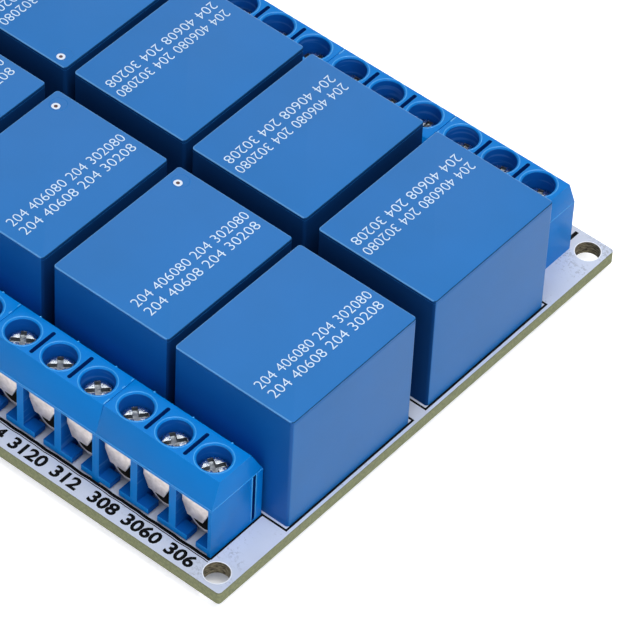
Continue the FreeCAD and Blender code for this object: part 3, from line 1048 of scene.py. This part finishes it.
def clamp(x):
    """A bent strip: a round trough under the wire, a plate over it, a tongue in front."""
    outer, sheet, centre = 1.85 * MM, 0.35 * MM, 2.65 * MM
    trough_front, trough_long = 1.7 * MM, 3.325 * MM
    plate_low, plate_high, plate_back = 5.95 * MM, 6.65 * MM, 5.325 * MM
    tongue_half, tongue_foot = 1.7 * MM, 1.0 * MM
    tongue_low, tongue_bend = 3.65 * MM, 5.3 * MM
    front, lap = 0.45 * MM, 0.1 * MM
    bpy.ops.mesh.primitive_circle_add(vertices=64, radius=outer, rotation=(math.pi / 2, 0, 0),
                                      location=(0, trough_front, centre))
    trough = settle(made("trough"))
    open_mesh(trough, "DESELECT")
    bpy.ops.mesh.select_mode(type="VERT")
    mesh = bmesh.from_edit_mesh(trough.data)
    for vert in mesh.verts:
        vert.select_set(vert.co.z > centre + 1e-6)
    bpy.ops.mesh.delete(type="VERT")
    mesh = bmesh.from_edit_mesh(trough.data)
    for vert in mesh.verts:
        vert.select_set(len(vert.link_edges) == 1)
    bpy.ops.mesh.extrude_region_move(
        TRANSFORM_OT_translate={"value": (0, 0, plate_low + lap - centre)})
    bpy.ops.mesh.select_all(action="SELECT")
    bpy.ops.mesh.extrude_region_move(TRANSFORM_OT_translate={"value": (0, trough_long, 0)})
    outward()
    done()
    wall = finish(trough, "SOLIDIFY", thickness=sheet, offset=-1.0)
    if max(v.co.x for v in wall.data.vertices) > outer + 0.05 * MM:
        raise RuntimeError("the trough's wall grew outwards")
    rounded(wall, 0.11 * MM, 50, edge_highlight=("clamp", "sheared_highlight"))
    painted(wall, "trough_shade")
    # The trough's inner faces get the near-black painted shade
    for face in wall.data.polygons:
        spot = Vector((face.center.x, 0, face.center.z - centre))
        if spot.z < 0 and spot.dot(face.normal) < -0.9 * spot.length:
            face.material_index = 2
    plate = block("plate", (-outer, front, plate_low), (outer, plate_back, plate_high))
    tongue = block("tongue", (-tongue_half, front, tongue_low),
                   (tongue_half, front + sheet, plate_low + lap))
    for side in (-1, 1):  # below its bend the tongue narrows towards its foot
        slice_off(tongue, (side * tongue_half, 0, tongue_bend),
                  (side * (tongue_bend - tongue_low), 0, tongue_foot - tongue_half))
    for part in (plate, tongue):
        rounded(part, 0.05 * MM, edge_highlight=("clamp", "sheared_highlight"))
    whole = joined("clamp", [wall, plate, tongue])
    whole.location = (x, 0, 0)
    return settle(whole)


class RELAYBOARD_OT_clamps(bpy.types.Operator):
    """Bends the wire clamps and sets them in their ways"""
    bl_idname = "relayboard.clamps"
    bl_label = "Wire clamps"

    def execute(self, context):
        look = context.scene.terminal_look
        for ways, nodes in ((3, ["wire_clamps_%d" % k for k in RELAYS]), (2, ["power_clamps"])):
            bank = joined("clamp_bank", [clamp(x) for x in way_middles(ways, look)])
            for k, node in enumerate(nodes, 1):
                x, y, turn, z = block_spot(k, look) if ways == 3 else power_spot(look)
                fit(copied(bank, node.replace("clamps", "straps"), x, y, turn, z), None,
                    "clamp_steel", node)
            discard(bank)
        return {"FINISHED"}


class RELAYBOARD_OT_screws(bpy.types.Operator):
    """Turns the clamp screws with their crossed slots"""
    bl_idname = "relayboard.screws"
    bl_label = "Clamp screws"

    def execute(self, context):
        boxes = solids_of("terminal_screws")
        tall = boxes[0][1].z - boxes[0][0].z
        length, width, depth = 1.25 * MM, 0.31 * MM, 0.5 * MM  # of a slot, from its middle
        head = rod("head", 1.64 * MM, (0, 0, 0), (0, 0, tall), 48)
        bevelled(head, above(tall - 1e-6), 0.5 * MM, 4)
        for x, y in ((length, width), (width, length)):
            cut(head, block("recess", (-x, -y, tall - depth), (x, y, tall + MM)))
        rounded(head, 0.045 * MM, 40)
        painted(head, "screw", "recess")
        slack = 0.03 * MM
        for face in head.data.polygons:
            # The crossed slots' floors and walls are a deeper grey: painted shade
            x, y, z = abs(face.center.x), abs(face.center.y), face.center.z
            crossed = min(x, y) < width + slack and max(x, y) < length + 0.05 * MM
            if crossed and tall - depth - 2 * slack < z < tall - slack:
                face.material_index = 1
        heads, turn = [], 2.4  # radians from one screw's slots to the next one's
        for number, (low, high) in enumerate(boxes):
            middle = (low + high) / 2
            turned = copied(head, "head", 0, 0, number * turn)
            # The rear row's screws are driven further in than the front row's, which vary
            share = 0.8 if middle.y > 0 else 1.13 + 0.03 * math.sin(5 * number)
            turned.scale = (1, 1, share)
            turned.location = (middle.x, middle.y, low.z)
            heads.append(settle(turned))
        discard(head)
        fit(joined("clamp_screws", heads), None, "screw_steel", "terminal_screws")
        return {"FINISHED"}


class RELAYBOARD_OT_solder(bpy.types.Operator):
    """Sets a solder cone round every pin on the underside"""
    bl_idname = "relayboard.solder"
    bl_label = "Pins and solder"

    def execute(self, context):
        finish_node("terminal_pins", "tin")
        cones, tall = [], 0.9 * MM
        for node in ["relay_pins_%d" % k for k in RELAYS] + ["terminal_pins", "header_pins"]:
            for low, high in solids_of(node):
                middle = (low + high) / 2
                reach = max(high.x - low.x, high.y - low.y) / 2
                bpy.ops.mesh.primitive_cone_add(
                    vertices=20, radius1=reach * 1.05, radius2=reach + 0.42 * MM,
                    depth=tall, location=(middle.x, middle.y, BOARD_LOW.z - tall / 2))
                cones.append(rounded(settle(made("cone")), 0.1 * MM, 40))
        fit(joined("solder_joints", cones), "solder", "tinned_copper")
        return {"FINISHED"}


class RELAYBOARD_OT_header(bpy.types.Operator):
    """Breaks the edges of the input header and its pins"""
    bl_idname = "relayboard.header"
    bl_label = "Input header"

    def execute(self, context):
        strip = rounded(cleaned("input_header", "header_strip"), 0.06 * MM)
        fit(strip, "black", "header_plastic", "input_header")
        pins = rounded(cleaned("header_pins", "header_posts"), 0.12 * MM)
        fit(pins, "brass", "header_brass", "header_pins")
        return {"FINISHED"}


class RELAYBOARD_OT_drive(bpy.types.Operator):
    """Finishes the drive parts: couplers, transistors, diodes, resistors and lamps"""
    bl_idname = "relayboard.drive"
    bl_label = "Drive parts"

    def execute(self, context):
        for node, name, key, slot, edge in (
                ("optocouplers", "coupler_bodies", "epoxy", "chip_plastic", 0.12),
                ("optocoupler_legs", "coupler_legs", "tin", "tinned_copper", 0.06),
                ("transistors", "transistor_bodies", "epoxy", "chip_plastic", 0.1),
                ("flyback_diodes", "diode_bodies", "epoxy", "chip_plastic", 0.12),
                ("resistors", "resistor_bodies", "glaze", "resistor_ceramic", 0.04),
                ("status_leds", "lamp_carriers", "carrier", "led_resin", 0.05)):
            fit(rounded(cleaned(node, name), edge * MM), key, slot, node)

        dots, bands, tabs, caps, lamps = [], [], [], [], []
        ink, lap = 0.01 * MM, 0.02 * MM
        for low, high in solids_of("optocouplers"):
            x, y = low.x + 0.95 * MM, low.y + 0.8 * MM
            dots.append(rod("dot", 0.35 * MM, (x, y, high.z - ink), (x, y, high.z + ink), 24))
        for low, high in solids_of("flyback_diodes"):
            bands.append(block("band", (low.x + 0.1 * MM, high.y - 0.95 * MM, high.z - ink),
                               (high.x - 0.1 * MM, high.y - 0.45 * MM, high.z + ink)))
            middle, half = (low.x + high.x) / 2, 0.7 * MM
            for y, way in ((low.y, -1), (high.y, 1)):
                near, far = span(y, way, -0.2, 0.4)
                tabs.append(block("tab", (middle - half, near, BOARD_TOP),
                                  (middle + half, far, BOARD_TOP + 0.9 * MM), 0.05 * MM))
        for low, high in solids_of("transistors"):
            middle, half, apart = (low.y + high.y) / 2, 0.2 * MM, 0.95 * MM
            for x, way, y in ((low.x, -1, middle - apart), (low.x, -1, middle + apart),
                              (high.x, 1, middle)):
                near, far = span(x, way, -0.1, 0.5)
                tabs.append(block("leg", (near, y - half, BOARD_TOP),
                                  (far, y + half, BOARD_TOP + 0.15 * MM), 0.03 * MM))
        for node in ("resistors", "status_leds"):
            for low, high in solids_of(node):
                top = high.z + lap if node == "resistors" else (low.z + high.z) / 2
                for y, way in ((low.y, 1), (high.y, -1)):
                    near, far = span(y, way, -0.02, 0.35)
                    caps.append(block("cap", (low.x - lap, near, low.z),
                                      (high.x + lap, far, top), 0.03 * MM))
        for low, high in solids_of("status_leds"):
            middle = (low.y + high.y) / 2
            lens = block("lens", (low.x + 0.1 * MM, middle - 0.6 * MM, high.z - 0.2 * MM),
                         (high.x - 0.1 * MM, middle + 0.6 * MM, high.z + 0.12 * MM))
            lamps.append(rounded(lens, 0.12 * MM, 35, 3))
        for name, parts, key, slot in (
                ("coupler_dots", dots, "mark", "chip_plastic"),
                ("diode_bands", bands, "mark", "chip_plastic"),
                ("tinned_tabs", tabs, "tin", "tinned_copper"),
                ("chip_end_caps", caps, "tin", "tinned_copper"),
                ("lamp_lenses", lamps, "resin", "led_resin")):
            fit(joined(name, parts), key, slot)
        return {"FINISHED"}


# The stage

# Places in metres; every lamp is as wide as LAMP_SIZE and aims at AIM
LAMPS = {"overhead": (0.2, -0.07, 0.58), "side": (0.6, -0.05, 0.25),
         "back": (-0.24, 0.34, 0.44), "front": (0.08, -0.5, 0.3)}
LAMP_SIZE = 0.4
AIM = (0.03, 0, 0.01)

# The camera, fitted to the photo: degrees, millimetres, and the focal length in the photo's pixels
HEADING, ELEVATION, ROLL = 37.847, 46.546, 3.097
TARGET, DISTANCE = (33.481, 3.232, 1.6), 493.682
FOCAL, PHOTO_SIZE = 4772.915, 640
SENSOR = 36


def camera_matrix():
    """A camera that looks at its target from a heading and a height, rolled about its line."""
    az, el, roll = (math.radians(angle) for angle in (HEADING, ELEVATION, ROLL))
    back = Vector((math.sin(az) * math.cos(el), -math.cos(az) * math.cos(el), math.sin(el)))
    right = Vector((math.cos(az), math.sin(az), 0))
    up = back.cross(right)
    side = right * math.cos(roll) + up * math.sin(roll)
    over = up * math.cos(roll) - right * math.sin(roll)
    turn = Matrix((side, over, back)).transposed().to_4x4()
    return Matrix.Translation((Vector(TARGET) + back * DISTANCE) * MM) @ turn


def lamp(name, watts, place):
    bpy.ops.object.light_add(type="AREA", location=place)
    light = bpy.context.active_object
    light.name = name
    light.data.energy = watts
    light.data.size = LAMP_SIZE
    light.rotation_euler = (Vector(AIM) - Vector(place)).to_track_quat("-Z", "Y").to_euler()


def seen(tree, gloss_share=None):
    """1 for a ray that shows what it meets: from the camera, from gloss or through glass."""
    path = add(tree, "ShaderNodeLightPath").outputs
    gloss = path["Is Glossy Ray"]
    if gloss_share:
        gloss = maths(tree, "MULTIPLY", gloss, gloss_share)
    either = maths(tree, "MAXIMUM", path["Is Camera Ray"], gloss)
    return maths(tree, "MAXIMUM", either, path["Is Transmission Ray"])


def floor_sheet(name, size, height, finish_name, glow):
    """Matt pale paint; seen by the camera or in gloss it is lifted, and keeps the shadow."""
    bpy.ops.mesh.primitive_plane_add(size=1, location=(0, 0, height))
    sheet = made(name)
    sheet.scale = (*size, 1)
    paint, tree, shader, where = surface(finish_name, "#E8E8E8", 0.9)
    grain(tree, shader, where, 20, 0.02)
    lift = add(tree, "ShaderNodeEmission", {
        "Strength": maths(tree, "MULTIPLY", seen(tree, 0.7), glow)})
    both = add(tree, "ShaderNodeAddShader", {0: shader.outputs[0], 1: lift.outputs[0]})
    out = next(node for node in tree.nodes if node.type == "OUTPUT_MATERIAL")
    tree.links.new(both.outputs[0], out.inputs["Surface"])
    sheet.data.materials.append(paint)
    return settle(sheet)


class RELAYBOARD_OT_stage(bpy.types.Operator):
    """Sets up the floor, the room, the lamps and the camera"""
    bl_idname = "relayboard.stage"
    bl_label = "Stage"

    def execute(self, context):
        scene = context.scene
        look = scene.stage_look
        scene.view_settings.view_transform = "Standard"

        ground = cad_box[0][2]
        floor = floor_sheet("floor", (6, 6), ground, "Pale studio floor", 0.6)
        # Right under the board the floor keeps its full shade, which shows through the holes
        under = (BOARD_HIGH - BOARD_LOW).xy - Vector((2.4, 2.4)) * MM
        shade = floor_sheet("shaded_floor", under, ground + 0.01 * MM,
                            "Pale studio floor in the board's shade", 0.1)

        world = bpy.data.worlds.new("Studio room")
        world.use_nodes = True
        scene.world = world
        tree = world.node_tree
        tree.nodes.clear()
        strength = ramp(tree, seen(tree), low=look.room, high=1.0)
        air = add(tree, "ShaderNodeBackground", {"Color": "#FFFFFF", "Strength": strength})
        add(tree, "ShaderNodeOutputWorld", {"Surface": air.outputs[0]})

        for name, place in LAMPS.items():
            lamp(name + "_lamp", getattr(look, name), place)

        bpy.ops.object.camera_add()
        camera = bpy.context.active_object
        camera.name = "camera"
        camera.matrix_world = camera_matrix()
        camera.data.sensor_width = SENSOR
        camera.data.lens = FOCAL / PHOTO_SIZE * SENSOR
        scene.camera = camera
        return {"FINISHED"}


OPERATORS = (RELAYBOARD_OT_board, RELAYBOARD_OT_relays, RELAYBOARD_OT_terminals,
             RELAYBOARD_OT_clamps, RELAYBOARD_OT_screws, RELAYBOARD_OT_solder,
             RELAYBOARD_OT_header, RELAYBOARD_OT_drive, RELAYBOARD_OT_stage)


class RELAYBOARD_PT_panel(bpy.types.Panel):
    """Lists the board's pieces and their sizes"""
    bl_label = "Relay board"
    bl_idname = "RELAYBOARD_PT_panel"
    bl_space_type = "VIEW_3D"
    bl_region_type = "UI"
    bl_category = "Relay board"

    def draw(self, context):
        for operator in OPERATORS:
            self.layout.operator(operator.bl_idname)
        for name, group in GROUPS.items():
            column = self.layout.column()
            for key in group.__annotations__:
                column.prop(getattr(context.scene, name), key)


def register():
    for group in GROUPS.values():
        bpy.utils.register_class(group)
    for kind in OPERATORS + (RELAYBOARD_PT_panel,):
        bpy.utils.register_class(kind)
    for name, group in GROUPS.items():
        setattr(bpy.types.Scene, name, PointerProperty(type=group))


def unregister():
    for name in GROUPS:
        delattr(bpy.types.Scene, name)
    for kind in (RELAYBOARD_PT_panel,) + OPERATORS[::-1]:
        bpy.utils.unregister_class(kind)
    for group in GROUPS.values():
        bpy.utils.unregister_class(group)


def main():
    register()
    for operator in OPERATORS:
        group, name = operator.bl_idname.split(".")
        getattr(getattr(bpy.ops, group), name)()


if __name__ == "__main__":
    main()
